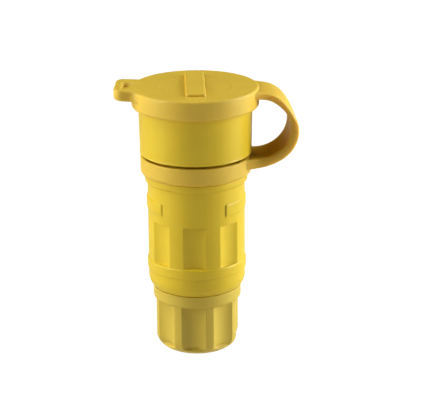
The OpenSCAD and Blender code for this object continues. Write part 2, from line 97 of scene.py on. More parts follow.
# Sizes of the housing's cup, neck, inside and tail
CUP_FOOT_R = 28.1
CUP_FOOT_Z = 104.15
CUP_FOOT_EDGE = 0.3
CUP_RIM_R = 28.7
CUP_RIM_EDGE = 0.6
CUP_BORE_R = 25
CUP_BEAD = 1.1
CUP_BEAD_RISE = 0.2
CUP_BEAD_EDGE = 0.2
CUP_FLOOR_Z = 109
CUP_FLOOR_EDGE = 0.4
NECK_R = 23.2
SEAT_Z = 102
SEAT_R = 21.9
SEAT_EDGE = 0.3
CAVITY_R = 20.2
CAVITY_Z = 38
PASSAGE_R = 9.5
GLAND_Z = 30
GLAND_R = 13.3
GLAND_EDGE = 0.4
TAIL_R = 16.4
TAIL_EDGE = 0.6
SCREW_RING_R = 15.2
SCREW_DEG = (22.5, 142.5, 262.5)
SCREW_HOLE_R = 1.75
SCREW_HOLE_FLOOR = 1
INSERT_R = 2.65
INSERT_LENGTH = 8
PILLAR_R = 4.05
PILLAR_Z = (72, 87)
WEB_START = 0.75
WEB_SINK = 1

# Sizes of the nut and of the thread that it shares with the tail
NUT_R = 21.4
NUT_DOME_R = 8
NUT_COLLAR_R = 22.4
NUT_COLLAR_HEIGHT = 6.4
NUT_COLLAR_EDGE = 1.5
NUT_TOP_EDGE = 0.5
NUT_HOLE_R = 12.2
NUT_HOLE_EDGE = 0.6
NUT_LIP = 10
NUT_LIP_EDGE = 0.5
NUT_BORE_R = 16.7
NUT_BORE_EDGE = 0.3
NUT_SKIN = 1
NUT_FLUTE_WIDTH = 12.4
NUT_FLUTE_DEPTH = 2.35
NUT_RIM = 2.6
NUT_RIM_SLOPE = 1.6
THREAD_PITCH = 2.5
THREAD_DEPTH = 0.9
THREAD_STEEPNESS = 0.9
THREAD_END = 1

# Sizes of the retaining ring
RING_BORE_GAP = 0.1
RING_BORE_EDGE = 0.2
RING_FOOT_EDGE = 2.4
RING_TOP_EDGE = 0.9
RING_LIP = 1.5
RING_LIP_EDGE = 0.3
RING_DISH = 3.5

# Sizes of the cap, in its own frame with the pull tab on the -X side
CAP_PLATE = 3.2
CAP_UNDER_GAP = 0.2
CAP_EDGE = 1.3
SKIRT_EDGE = 1.6
SKIRT_LONGER = 0.8
SKIRT_BORE_R = 29.55
SKIRT_BORE_EDGE = 0.4
SKIRT_MOUTH_R = 28.95
SKIRT_MOUTH_EDGE = 0.2
SKIRT_MOUTH_TOP = 1
SKIRT_MOUTH_SLOPE = 0.8
LIP_R = 23.7
LIP_WALL = 1.4
LIP_DROP = 2
LIP_EDGE = 0.3
RECESS_R = 18.8
RECESS_DEPTH = 0.4
RECESS_SLOPE = 1.4
RECESS_CLEAR = 0.2
BAR_WIDTH = 10
BAR_LENGTH = 43.2
BAR_OFFSET = -0.6
BAR_RISE = 1.6
BAR_SINK = 0.6
BAR_EDGE = 1.3
BAR_CORNER = 1.5
BAR_LEAST_CORNER = 0.2
BAR_FLARES = (0.15, 0.1, 0.03)
BAR_TOP_INSETS = (1.45, 2.8, 4.6)
TAB_REACH = 8.3
TAB_SLANT = 0.06
TAB_WIDTH = 24.2
TAB_THICKNESS = 6.2
TAB_TAPER = 0.03
TAB_TILT_DEG = 3.2
TAB_TILT_SOFT = 0.2
TAB_SIDE_FADE = 3
TAB_UNDER_SLOPE = 0.3
TAB_EDGE = 1.9
TAB_CORNER = 4.8
TAB_BLEND = 4
TAB_RIM = 3
TAB_RECESS_WIDTH = 15.2
TAB_RECESS_LENGTH = 11.4
TAB_RECESS_DEPTH = 1.7
TAB_RECESS_ASIDE = 1.9
TAB_RECESS_EDGE = 1.5
TAB_RECESS_CORNER = 3
TAB_PIT_PLACE = (-34.8, 1.9)
TAB_PIT_R = (1.9, 2.5)
TAB_PIT_DEPTH = 3.4
TAB_PIT_SPREAD = 1.2

# Sizes of the strap: its two walls are ellipses (x, z, half width, half height) in its own upright plane
STRAP_OUTSIDE = (27.6, 117.2, 23.6, 20)
STRAP_INSIDE = (30, 118, 17.2, 15.5)
STRAP_LOOP_X = 31.6
STRAP_FOOT_Z = 100.2
STRAP_TOP_Z = 135.3
STRAP_WIDTH = 22.6
STRAP_EDGE = 0.8
STRAP_CROWN = 0.5
STRAP_SINK = 2
STRAP_FLARE_R = 8
STRAP_FLARE_START = 5.5

# How the moulded strap leaves its outer ellipse and twists, as shares of its reach and of its width
STRAP_LEAN = 0.033
STRAP_LOW_LEAN = 0.2
STRAP_LEAN_SPAN_DEG = 40
STRAP_FULLER = 0.02
STRAP_TWIST = 0.04
STRAP_REAR_TWIST = 0.4


def box_mm(node):
    """Lowest and highest corner of a node, in millimetres."""
    low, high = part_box(node)
    return low / MM, high / MM


def make_camera():
    """A camera at the place from which the photograph was taken."""
    data = bpy.data.cameras.new("camera")
    data.sensor_width = SENSOR_WIDTH_MM
    data.lens = FOCAL_LENGTH_PX * SENSOR_WIDTH_MM / IMAGE_WIDTH_PX
    camera = bpy.data.objects.new("camera", data)
    camera.location = Vector(CAMERA_PLACE_MM) * MM
    pitch = Euler((math.radians(90 - CAMERA_PITCH_DEG), 0, 0)).to_matrix()
    roll = Euler((0, 0, math.radians(CAMERA_ROLL_DEG))).to_matrix()
    camera.rotation_euler = (pitch @ roll).to_euler()
    bpy.context.scene.collection.objects.link(camera)
    bpy.context.scene.camera = camera


make_camera()


# Outlines and grids

ARC_STEP = math.radians(18)
ARC_LENGTH = 0.35
ARC_LEAST_STEPS = 3
QUARTER_STEPS = 8
SUPPORT = 0.15
SAME = 1e-6
APART = 1e-3

# Angles round a fluted piece: how many over a flute and over a land, and how close at a flute's edge
FLUTE_ANGLES = 11
LAND_ANGLES = 4
FLUTE_EDGE_CLEAR_DEG = 1.5
FLUTE_EDGE_REACH_DEG = 0.9
FLUTE_EDGE_STEP_DEG = 0.3


def rounded_outline(corners, step):
    """Points of a closed (r, z) outline with rounded corners, each given as (r, z, radius).

    No two neighbouring points lie further apart than step.
    """
    places = [np.array(c[:2], float) for c in corners]
    arcs = []
    for i, here in enumerate(places):
        back = places[i - 1] - here
        ahead = places[(i + 1) % len(places)] - here
        back /= np.linalg.norm(back)
        ahead /= np.linalg.norm(ahead)
        radius = corners[i][2]
        half = math.acos(np.clip(back @ ahead, -1, 1)) / 2
        if radius == 0:
            arcs.append([here])
            continue
        middle = back + ahead
        centre = here + middle / np.linalg.norm(middle) * radius / math.sin(half)
        start = here + back * radius / math.tan(half) - centre
        end = here + ahead * radius / math.tan(half) - centre
        turn = math.atan2(start[0] * end[1] - start[1] * end[0], start @ end)
        by_angle, by_length = abs(turn) / ARC_STEP, abs(turn) * radius / ARC_LENGTH
        count = max(ARC_LEAST_STEPS, math.ceil(by_angle), math.ceil(by_length))
        arc = []
        for k in range(count + 1):
            a = turn * k / count
            arc.append(centre + [start[0] * math.cos(a) - start[1] * math.sin(a),
                                 start[0] * math.sin(a) + start[1] * math.cos(a)])
        arcs.append(arc)
    points = []
    for i, arc in enumerate(arcs):
        points += arc
        points += straight_points(arc[-1], arcs[(i + 1) % len(arcs)][0], step)
    return np.array(points)


def straight_points(start, end, step):
    """Points strictly between two ends, close to both ends and no further apart than step."""
    length = np.linalg.norm(end - start)
    if length < 4 * SUPPORT:
        return []
    count = max(1, math.ceil((length - 2 * SUPPORT) / step))
    along = SUPPORT + np.arange(count + 1) * (length - 2 * SUPPORT) / count
    return [start + (end - start) * a / length for a in along]


def with_levels(points, r, levels):
    """The outline with more points on its straight upright stretch at radius r, at these heights."""
    out = []
    for i, here in enumerate(points):
        out.append(here)
        ahead = points[(i + 1) % len(points)]
        if abs(here[0] - r) > SAME or abs(ahead[0] - r) > SAME:
            continue
        low, high = sorted((here[1], ahead[1]))
        between = [z for z in levels if low + APART < z < high - APART]
        goes_down = bool(here[1] > ahead[1])
        out += [np.array([r, z]) for z in sorted(between, reverse=goes_down)]
    return np.array(out)


def close_to(places, reach, step):
    """Values on both sides of each place, out to reach and step apart."""
    offsets = np.arange(-reach, reach + step / 2, step)
    return np.unique(np.round(np.concatenate([p + offsets for p in places]), 4))


def quarter_turn(steps):
    """Angles from zero to a right angle, in equal steps."""
    return [math.pi / 2 * k / steps for k in range(steps + 1)]


def soft_min(a, b, k):
    """The lower of two values, with the corner between them rounded over about k."""
    h = np.clip(0.5 + 0.5 * (b - a) / k, 0, 1)
    return b + (a - b) * h - k * h * (1 - h)


def soft_max(a, b, k):
    """The higher of two values, with the corner between them rounded over about k."""
    return -soft_min(-a, -b, k)


def smooth_share(value):
    """Value held between 0 and 1 and eased at both ends."""
    share = np.clip(value, 0, 1)
    return share * share * (3 - 2 * share)


def flute_floor(r, width, depth, angle):
    """Distance from the axis to the floor of a round-bottomed flute, at an angle from its middle line."""
    crown = r - math.sqrt(r * r - width * width / 4)
    sink = depth - crown
    cut_r = (width * width / 4 + sink * sink) / (2 * sink)
    far = r - depth + cut_r
    inside = cut_r ** 2 - (far * np.sin(angle)) ** 2
    floor = far * np.cos(angle) - np.sqrt(np.maximum(inside, 0))
    return np.where(inside > 0, floor, r + depth)


def from_flute(angle, first_deg):
    """Angle from the middle line of the nearest flute."""
    sector = 2 * math.pi / FLUTE_COUNT
    return (angle - math.radians(first_deg) + sector / 2) % sector - sector / 2


def at_a_side(angle, first_deg):
    """Whether the nearest flute's place is a quarter turn from the first one's."""
    number = np.round((angle - math.radians(first_deg)) / (2 * math.pi / FLUTE_COUNT)).astype(int)
    return number % (FLUTE_COUNT // 2) == FLUTE_COUNT // 4


def fluted_angles(r, width, first_deg, extra_deg=()):
    """Angles round the axis, close together at the flutes' edges."""
    edge = math.degrees(math.asin(width / 2 / r))
    sector = 360 / FLUTE_COUNT
    clear = FLUTE_EDGE_CLEAR_DEG
    one = np.concatenate([
        np.linspace(-edge + clear, edge - clear, FLUTE_ANGLES),
        close_to([-edge, edge], FLUTE_EDGE_REACH_DEG, FLUTE_EDGE_STEP_DEG),
        np.linspace(edge + clear, sector - edge - clear, LAND_ANGLES),
    ])
    every = [one + i * sector + first_deg for i in range(FLUTE_COUNT)]
    turned = np.round(np.concatenate(every + [np.array(extra_deg)]) % 360, 3)
    return np.radians(np.unique(turned))


def new_piece(name, vertices, faces):
    """A smooth-shaded mesh object from points in millimetres."""
    mesh = bpy.data.meshes.new(name)
    mesh.from_pydata((np.asarray(vertices) * MM).tolist(), [], faces)
    work = bmesh.new()
    work.from_mesh(mesh)
    bmesh.ops.recalc_face_normals(work, faces=work.faces)
    work.to_mesh(mesh)
    work.free()
    mesh.shade_smooth()
    piece = bpy.data.objects.new(name, mesh)
    bpy.context.scene.collection.objects.link(piece)
    return piece


def grid_faces(rows, columns, rows_wrap):
    """Quads of a grid that wraps along its columns, and along its rows if asked."""
    i, j = np.meshgrid(np.arange(rows if rows_wrap else rows - 1), np.arange(columns), indexing="ij")
    below, beside = (i + 1) % rows, (j + 1) % columns
    quads = np.stack([
        i * columns + j, i * columns + beside, below * columns + beside, below * columns + j,
    ], -1)
    return quads.reshape(-1, 4).tolist()


def capped_faces(rows, columns):
    """Quads of a tube-like grid and one face over each end."""
    last = (rows - 1) * columns
    return grid_faces(rows, columns, False) + [list(range(columns)), list(range(last, last + columns))]


def turned_piece(name, outline, angles, shape=None):
    """A closed turned piece. shape, if given, changes the outline's radius at each (r, z, angle)."""
    r = np.repeat(outline[:, :1], len(angles), 1)
    z = np.repeat(outline[:, 1:], len(angles), 1)
    angle = np.repeat(angles[None, :], len(outline), 0)
    if shape:
        r = shape(r, z, angle)
    points = np.stack([r * np.cos(angle), r * np.sin(angle), z], -1).reshape(-1, 3)
    return new_piece(name, points, grid_faces(len(outline), len(angles), True))


def turn_about_axis(points, degrees):
    """Points turned about the upright axis."""
    a = math.radians(degrees)
    x, y, z = np.asarray(points).T
    return np.stack([x * math.cos(a) - y * math.sin(a), x * math.sin(a) + y * math.cos(a), z], -1)


# Heights that come from the nodes' boxes

NUT_HIGH = box_mm("compression_nut")[1]
HOUSING_LOW, HOUSING_HIGH = box_mm("housing")
RING_LOW, RING_HIGH = box_mm("retaining_ring")
CAP_LOW, CAP_HIGH = box_mm("closure_cap")

TAIL_Z = HOUSING_LOW.z
RIM_Z = HOUSING_HIGH.z
RING_Z = RING_LOW.z
GRIP_Z = NUT_HIGH.z + SEAM_GAP
LOWER_BAND_Z = GRIP_Z + FOOT_HEIGHT
FLUTE_Z = LOWER_BAND_Z + LOWER_BAND_HEIGHT
WAIST_Z = FLUTE_Z + FLUTE_HEIGHT
UPPER_BAND_Z = WAIST_Z + WAIST_HEIGHT
SHOULDER_Z = UPPER_BAND_Z + UPPER_BAND_HEIGHT
FLANGE_Z = SHOULDER_Z + SHOULDER_HEIGHT
NUT_COLLAR_Z = NUT_HIGH.z - NUT_COLLAR_HEIGHT


# Housing

FLUTE_FRONT_DEG = FRONT_DEG + FLUTE_TURN_DEG
EDGE_SOFT = 0.15
WALL_SLOPE = 10

# Spacing of the housing's points: along its outline, at the bands' edges, and beside the window
HOUSING_STEP = 7
BAND_FOOT_LEVEL = 0.3
BAND_TOP_LEVEL = 0.2
LEVEL_REACH = 0.5
LEVEL_STEP = 0.1
LEDGE_STEP = 0.2
BAND_STEP = 0.4
WINDOW_NEAR_DEG = (-0.4, 2)
WINDOW_NEAR_STEP_DEG = 0.2
WINDOW_FAR_STEP_DEG = 0.6
TAIL_LEVELS_A_TURN = 6
PILLAR_STEP_DEG = 15


def thread_wave(z, angle):
    """0 on a thread's crest and 1 in its groove."""
    turn = z / THREAD_PITCH - angle / (2 * math.pi)
    return np.clip(0.5 - THREAD_STEEPNESS * np.cos(2 * math.pi * turn), 0, 1)


def thread_cut(z, angle, low, high):
    """Depth of a thread between two heights, which runs out toward both."""
    run_out = np.minimum(z - low - THREAD_END, high - THREAD_END - z) / THREAD_PITCH
    return THREAD_DEPTH * thread_wave(z, angle) * np.clip(run_out, 0, 1)


def rounded_step(distance, reach):
    """A rounded edge: 0 outside it, then a quarter ellipse up to 1 over its reach."""
    share = np.clip(distance / reach, 0, 1)
    return np.sqrt(1 - (1 - share) ** 2)


def band_rise(z, angle):
    """Rise of the two raised bands over the grip; the upper one has a bare window at the front."""
    lower = np.minimum(rounded_step(z - LOWER_BAND_Z, BAND_EDGE), rounded_step(FLUTE_Z - z, LEDGE_EDGE))
    from_front = (angle - math.radians(FRONT_DEG + WINDOW_TURN_DEG) + math.pi) % (2 * math.pi) - math.pi
    past_window = (np.abs(from_front) - math.radians(WINDOW_DEG / 2)) * GRIP_R
    below_top = SHOULDER_Z - z
    corner = WINDOW_CORNER - np.hypot(np.maximum(WINDOW_CORNER - past_window, 0),
                                      np.maximum(WINDOW_CORNER - below_top, 0))
    upper = np.minimum(rounded_step(corner, WINDOW_EDGE), np.clip((z - UPPER_BAND_Z) / BAND_SLOPE, 0, 1))
    return BAND_RISE * np.maximum(lower, upper)


def housing_shape(r, z, angle):
    """The grip's bands and flutes, and the thread on the tail."""
    grip = (np.abs(r - GRIP_R) < SAME) & (z < FLANGE_Z)
    inside = np.minimum(z - FLUTE_Z, WAIST_Z - z)
    floor = flute_floor(GRIP_R, FLUTE_WIDTH, FLUTE_DEPTH, from_flute(angle, FLUTE_FRONT_DEG))
    floor = np.where(at_a_side(angle, FLUTE_FRONT_DEG), GRIP_R + FLUTE_DEPTH, floor)
    floor = soft_max(floor, GRIP_R - inside * WALL_SLOPE, EDGE_SOFT)
    formed = soft_min(GRIP_R + band_rise(z, angle), floor, EDGE_SOFT)
    tail = (np.abs(r - TAIL_R) < SAME) & (z < GRIP_Z)
    threaded = r - thread_cut(z, angle, TAIL_Z, GRIP_Z)
    return np.where(grip, formed, np.where(tail, threaded, r))


def inward_arc(r, z, radius, turn):
    """Outline points of an edge that leaves the upright line at (r, z) and curves in as it goes down."""
    arc = [turn * k / QUARTER_STEPS for k in range(QUARTER_STEPS + 1)]
    return [(r - radius * (1 - math.cos(a)), z - radius * math.sin(a), 0) for a in arc]


def make_housing():
    """The housing in one piece: its outside from the rim down to the tail, then its inside up to the rim."""
    foot = inward_arc(GRIP_R, GRIP_Z + FOOT_CURVE, FOOT_CURVE_R, math.asin(FOOT_CURVE / FOOT_CURVE_R))
    flange_turn = math.acos(1 - (FLANGE_R - GRIP_R) / FLANGE_EDGE)
    flange = inward_arc(FLANGE_R, FLANGE_Z + FLANGE_EDGE, FLANGE_EDGE, flange_turn)
    corners = [
        (CUP_BORE_R, RIM_Z, CUP_RIM_EDGE), (CUP_RIM_R, RIM_Z, CUP_RIM_EDGE),
        (CUP_FOOT_R, CUP_FOOT_Z + CUP_BEAD, CUP_BEAD_EDGE),
        (CUP_FOOT_R + CUP_BEAD_RISE, CUP_FOOT_Z + CUP_BEAD / 2, CUP_BEAD_EDGE),
        (CUP_FOOT_R, CUP_FOOT_Z, CUP_FOOT_EDGE), (NECK_R, CUP_FOOT_Z, 0), (NECK_R, RING_Z, 0),
        (FLANGE_R, RING_Z, FLANGE_TOP_EDGE), *flange, *foot[:-1], (foot[-1][0], GRIP_Z, FOOT_EDGE),
        (TAIL_R, GRIP_Z, 0), (TAIL_R, TAIL_Z, TAIL_EDGE), (GLAND_R, TAIL_Z, GLAND_EDGE),
        (GLAND_R, GLAND_Z, 0), (PASSAGE_R, GLAND_Z, 0), (PASSAGE_R, CAVITY_Z, 0),
        (CAVITY_R, CAVITY_Z, 0), (CAVITY_R, SEAT_Z, 0),
        (SEAT_R, SEAT_Z, 0), (SEAT_R, CUP_FLOOR_Z, SEAT_EDGE), (CUP_BORE_R, CUP_FLOOR_Z, CUP_FLOOR_EDGE),
    ]
    outline = rounded_outline(corners, HOUSING_STEP)
    edges = [LOWER_BAND_Z + BAND_FOOT_LEVEL, FLUTE_Z, WAIST_Z, SHOULDER_Z - BAND_TOP_LEVEL]
    levels = np.concatenate([
        close_to(edges, LEVEL_REACH, LEVEL_STEP),
        np.arange(FLUTE_Z - LEDGE_EDGE, FLUTE_Z - LEVEL_REACH, LEDGE_STEP),
        np.arange(UPPER_BAND_Z, SHOULDER_Z - BAND_TOP_LEVEL - LEVEL_REACH, BAND_STEP),
    ])
    outline = with_levels(outline, GRIP_R, levels)
    outline = with_levels(outline, TAIL_R, np.arange(TAIL_Z, GRIP_Z, THREAD_PITCH / TAIL_LEVELS_A_TURN))
    near, far = WINDOW_NEAR_DEG
    corner_deg = math.degrees(WINDOW_CORNER / GRIP_R)
    past = np.concatenate([
        np.arange(near, far, WINDOW_NEAR_STEP_DEG), np.arange(far, corner_deg, WINDOW_FAR_STEP_DEG),
    ])
    window_edges = np.concatenate([
        FRONT_DEG + WINDOW_TURN_DEG + side * (WINDOW_DEG / 2 + past) for side in (-1, 1)
    ])
    angles = fluted_angles(GRIP_R, FLUTE_WIDTH, FLUTE_FRONT_DEG, window_edges)
    return turned_piece("housing_moulding", outline, angles, housing_shape)


def make_pillars():
    """The three pillars in the wiring space that take the assembly screws, each with a web to the wall."""
    low, high = PILLAR_Z
    profile = [
        (PILLAR_R, low), (PILLAR_R, high), (INSERT_R, high), (INSERT_R, high - INSERT_LENGTH),
        (SCREW_HOLE_R, high - INSERT_LENGTH), (SCREW_HOLE_R, low + SCREW_HOLE_FLOOR),
    ]
    turn = np.radians(np.arange(0, 360, PILLAR_STEP_DEG))
    tube = [np.column_stack([SCREW_RING_R + r * np.cos(turn), r * np.sin(turn), np.full_like(turn, z)])
            for r, z in profile]
    near, far, half = SCREW_RING_R + PILLAR_R * WEB_START, CAVITY_R + WEB_SINK, PILLAR_R / 2
    web = [np.array([(near, -half, z), (far, -half, z), (far, half, z), (near, half, z)])
           for z in (low, high)]
    points, faces, count = [], [], 0
    for degrees in SCREW_DEG:
        for rows in (tube, web):
            points.append(turn_about_axis(np.concatenate(rows), degrees))
            faces += [[count + i for i in face] for face in capped_faces(len(rows), len(rows[0]))]
            count += len(points[-1])
    return new_piece("housing_pillars", np.concatenate(points), faces)


# Compression nut

NUT_FRONT_DEG = FRONT_DEG + NUT_TURN_DEG
NUT_STEP = 2.2
NUT_LEVELS_A_TURN = 8


def nut_shape(r, z, angle):
    """The nut's flutes, which end at a plain rim on its dome, and the thread in its bore."""
    floor = flute_floor(NUT_R, NUT_FLUTE_WIDTH, NUT_FLUTE_DEPTH, from_flute(angle, NUT_FRONT_DEG))
    sink = np.maximum(NUT_R - soft_min(NUT_R, floor, EDGE_SOFT), 0)
    fluted = r - sink * smooth_share((z - NUT_RIM) / NUT_RIM_SLOPE)
    skin = (r > NUT_BORE_R + NUT_SKIN) & (r < NUT_R + SAME) & (z < NUT_COLLAR_Z + SAME)
    bore = (np.abs(r - NUT_BORE_R) < SAME) & (z > NUT_LIP)
    threaded = r + thread_cut(z, angle, NUT_LIP, NUT_HIGH.z)
    return np.where(skin, fluted, np.where(bore, threaded, r))


def make_nut():
    """The nut, with a domed foot, a collar at its top and a threaded bore over a lip."""
    collar_rise = NUT_COLLAR_R - NUT_R
    collar = [
        (NUT_R + collar_rise * math.sin(a), NUT_COLLAR_Z + NUT_COLLAR_EDGE * (1 - math.cos(a)), 0)
        for a in quarter_turn(QUARTER_STEPS)
    ]
    corners = [
        (NUT_HOLE_R, 0, NUT_HOLE_EDGE), (NUT_R, 0, NUT_DOME_R), *collar,
        (NUT_COLLAR_R, NUT_HIGH.z, NUT_TOP_EDGE), (NUT_BORE_R, NUT_HIGH.z, NUT_TOP_EDGE),
        (NUT_BORE_R, NUT_LIP, NUT_BORE_EDGE), (NUT_HOLE_R, NUT_LIP, NUT_LIP_EDGE),
    ]
    outline = rounded_outline(corners, NUT_STEP)
    levels = np.arange(NUT_LIP, NUT_HIGH.z, THREAD_PITCH / NUT_LEVELS_A_TURN)
    outline = with_levels(outline, NUT_BORE_R, levels)
    angles = fluted_angles(NUT_R, NUT_FLUTE_WIDTH, NUT_FRONT_DEG)
    return turned_piece("nut_moulding", outline, angles, nut_shape)


# Retaining ring

RING_R = RING_HIGH.y
RING_BORE_R = GRIP_R + RING_BORE_GAP
RING_STEP = 1.5
RING_STEP_DEG = 2.0


def make_ring():
    """The ring under the cup, with a top that dishes in toward the neck."""
    corners = [
        (RING_BORE_R, RING_Z, RING_BORE_EDGE), (RING_R, RING_Z, RING_FOOT_EDGE),
        (RING_R, RING_HIGH.z, RING_TOP_EDGE), (RING_R - RING_LIP, RING_HIGH.z, RING_LIP_EDGE),
        (RING_BORE_R, RING_HIGH.z - RING_DISH, RING_LIP_EDGE),
    ]
    angles = np.radians(np.arange(0, 360, RING_STEP_DEG))
    return turned_piece("ring_moulding", rounded_outline(corners, RING_STEP), angles)


# Closure cap

CAP_R = CAP_HIGH.y
CAP_TOP_Z = RIM_Z + CAP_PLATE
CAP_UNDER_Z = RIM_Z + CAP_UNDER_GAP
RECESS_Z = CAP_TOP_Z - RECESS_DEPTH
SKIRT_Z = CAP_LOW.z - SKIRT_LONGER
TAB_END = CAP_R + TAB_REACH

# Search for the cap's outline: from a share of the cap's radius to past the tab's end, and how often it halves
SEARCH_START = 0.7
SEARCH_PAST = 1
SEARCH_HALVINGS = 40

# Spacing of the cap's points: angles at the tab and elsewhere, then rings from the middle out and back in
TAB_HALF_DEG = 24
TAB_STEP_DEG = 0.5
CAP_STEP_DEG = 2.0
FLOOR_RINGS_R = (3, 9, 15, RECESS_R - RECESS_SLOPE - RECESS_CLEAR)
SLOPE_RINGS = np.linspace(0, 1, 9)
TOP_RINGS = np.linspace(0.04, 1, 58)
TAB_UNDER_RINGS = np.linspace(0.2, 1, 5)
UNDER_RINGS_R = (15, 8, 2)
CAP_EDGE_STEPS = 7
BAR_EDGE_STEPS = 6

# Points of a rectangle with rounded corners: steps in a corner, and places along a side
CORNER_STEPS = 6
SIDE_PLACES = (0.03, 0.25, 0.5, 0.75, 0.97)


def rounded_box_distance(x, y, half_x, half_y, corner):
    """Signed distance to a rectangle with rounded corners, centred on the origin."""
    qx, qy = np.abs(x) - half_x + corner, np.abs(y) - half_y + corner
    return np.hypot(np.maximum(qx, 0), np.maximum(qy, 0)) + np.minimum(np.maximum(qx, qy), 0) - corner


def cap_distance(x, y):
    """Signed distance to the cap's outline seen from above, with the tab blended into the round."""
    round_part = np.hypot(x, y) - CAP_R
    along = x - TAB_SLANT * y + TAB_END / 2
    tab = rounded_box_distance(along, y, TAB_END / 2, TAB_WIDTH / 2, TAB_CORNER)
    return soft_min(round_part, tab, TAB_BLEND)


def cap_radius(angles, inset):
    """Distance from the axis, at each angle, to the line that lies inset inside the cap's outline."""
    low = np.full_like(angles, CAP_R * SEARCH_START)
    high = np.full_like(angles, TAB_END + SEARCH_PAST)
    for _ in range(SEARCH_HALVINGS):
        middle = (low + high) / 2
        inside = cap_distance(middle * np.cos(angles), middle * np.sin(angles)) < -inset
        low = np.where(inside, middle, low)
        high = np.where(inside, high, middle)
    return (low + high) / 2


def tab_recess(x, y):
    """Depth of the finger recess: a dish that runs out toward the cap, with a pit near its outer end."""
    along = x - TAB_SLANT * y + TAB_END - TAB_RIM
    share = np.clip(along / TAB_RECESS_LENGTH, 0, 1)
    side = TAB_RECESS_WIDTH / 2 * np.sqrt(1 - share ** 2) - np.abs(y + TAB_RECESS_ASIDE)
    wall = soft_min(side, along, TAB_RECESS_CORNER)
    dish = TAB_RECESS_DEPTH * (1 - share) * smooth_share(wall / TAB_RECESS_EDGE)
    off_pit = np.hypot((x - TAB_PIT_PLACE[0]) / TAB_PIT_R[0], (y - TAB_PIT_PLACE[1]) / TAB_PIT_R[1])
    return dish + TAB_PIT_DEPTH * smooth_share(TAB_PIT_SPREAD - off_pit)


def tab_lift(x, y):
    """Rise of the tilted pull tab over the cap's top, which fades out at the tab's two sides."""
    rise = (-x - CAP_R / 2) * math.tan(math.radians(TAB_TILT_DEG))
    beside = (np.abs(y) - (TAB_WIDTH - TAB_SIDE_FADE) / 2) / TAB_SIDE_FADE
    return soft_max(np.zeros_like(x), rise, TAB_TILT_SOFT) * (1 - smooth_share(beside))


def make_cap():
    """The cap, from the middle of its top out to the tab, down the skirt and in again below."""
    angles = np.radians(np.concatenate([
        np.arange(180 - TAB_HALF_DEG, 180 + TAB_HALF_DEG, TAB_STEP_DEG),
        np.arange(180 + TAB_HALF_DEG, 540 - TAB_HALF_DEG, CAP_STEP_DEG),
    ]))
    rows = []

    def add(radius, height):
        radius = np.broadcast_to(radius, angles.shape)
        height = np.broadcast_to(height, angles.shape)
        rows.append(np.stack([radius * np.cos(angles), radius * np.sin(angles), height], -1))

    for r in FLOOR_RINGS_R:
        add(r, RECESS_Z)
    for share in SLOPE_RINGS:
        add(RECESS_R - RECESS_SLOPE * (1 - share), RECESS_Z + RECESS_DEPTH * smooth_share(share))
    top_edge = cap_radius(angles, CAP_EDGE)
    for share in TOP_RINGS:
        r = RECESS_R + (top_edge - RECESS_R) * share
        x, y = r * np.cos(angles), r * np.sin(angles)
        add(r, CAP_TOP_Z + tab_lift(x, y) - tab_recess(x, y))
    lift = tab_lift(top_edge * np.cos(angles), top_edge * np.sin(angles))
    edge_turn = quarter_turn(CAP_EDGE_STEPS)
    for a in edge_turn[1:]:
        add(cap_radius(angles, CAP_EDGE * (1 - math.sin(a))), CAP_TOP_Z + lift - CAP_EDGE * (1 - math.cos(a)))
    rim = cap_radius(angles, 0)
    tab_under = CAP_TOP_Z + lift - TAB_THICKNESS + TAB_TAPER * (rim - CAP_R)
    add(rim, tab_under + TAB_EDGE)
    for a in edge_turn[1:]:
        r = np.maximum(cap_radius(angles, TAB_EDGE * (1 - math.cos(a))), CAP_R)
        add(r, tab_under + TAB_EDGE * (1 - math.sin(a)))
    under = np.maximum(cap_radius(angles, TAB_EDGE), CAP_R)
    for share in TAB_UNDER_RINGS:
        add(under + (CAP_R - under) * share, tab_under - TAB_UNDER_SLOPE * share)
    add(CAP_R, SKIRT_Z + SKIRT_EDGE + SUPPORT)
    for a in edge_turn:
        add(CAP_R - SKIRT_EDGE * (1 - math.cos(a)), SKIRT_Z + SKIRT_EDGE * (1 - math.sin(a)))
    lip_z, lip_in = RIM_Z - LIP_DROP, LIP_R - LIP_WALL
    bore_bevel = SKIRT_BORE_EDGE / 4
    inner = [
        (SKIRT_MOUTH_R + SKIRT_MOUTH_EDGE, SKIRT_Z), (SKIRT_MOUTH_R, SKIRT_Z + SKIRT_MOUTH_EDGE),
        (SKIRT_MOUTH_R, SKIRT_Z + SKIRT_MOUTH_TOP),
        (SKIRT_BORE_R, SKIRT_Z + SKIRT_MOUTH_TOP + SKIRT_MOUTH_SLOPE),
        (SKIRT_BORE_R, CAP_UNDER_Z - SKIRT_BORE_EDGE), (SKIRT_BORE_R - bore_bevel, CAP_UNDER_Z - bore_bevel),
        (SKIRT_BORE_R - SKIRT_BORE_EDGE, CAP_UNDER_Z), (LIP_R + LIP_EDGE, CAP_UNDER_Z),
        (LIP_R, CAP_UNDER_Z - LIP_EDGE), (LIP_R, lip_z + LIP_EDGE), (LIP_R - LIP_EDGE, lip_z),
        (lip_in + LIP_EDGE, lip_z), (lip_in, lip_z + LIP_EDGE), (lip_in, CAP_UNDER_Z - LIP_EDGE),
        (lip_in - LIP_EDGE, CAP_UNDER_Z), *[(r, CAP_UNDER_Z) for r in UNDER_RINGS_R],
    ]
    for r, z in inner:
        add(r, z)
    columns = len(angles)
    faces = grid_faces(len(rows), columns, False)
    points = np.concatenate(rows + [[[0, 0, RECESS_Z], [0, 0, CAP_UNDER_Z]]])
    top, bottom, last = len(points) - 2, len(points) - 1, (len(rows) - 1) * columns
    for j in range(columns):
        ahead = (j + 1) % columns
        faces.append([top, ahead, j])
        faces.append([bottom, last + j, last + ahead])
    return new_piece("cap_moulding", turn_about_axis(points, CAP_TURN_DEG), faces)


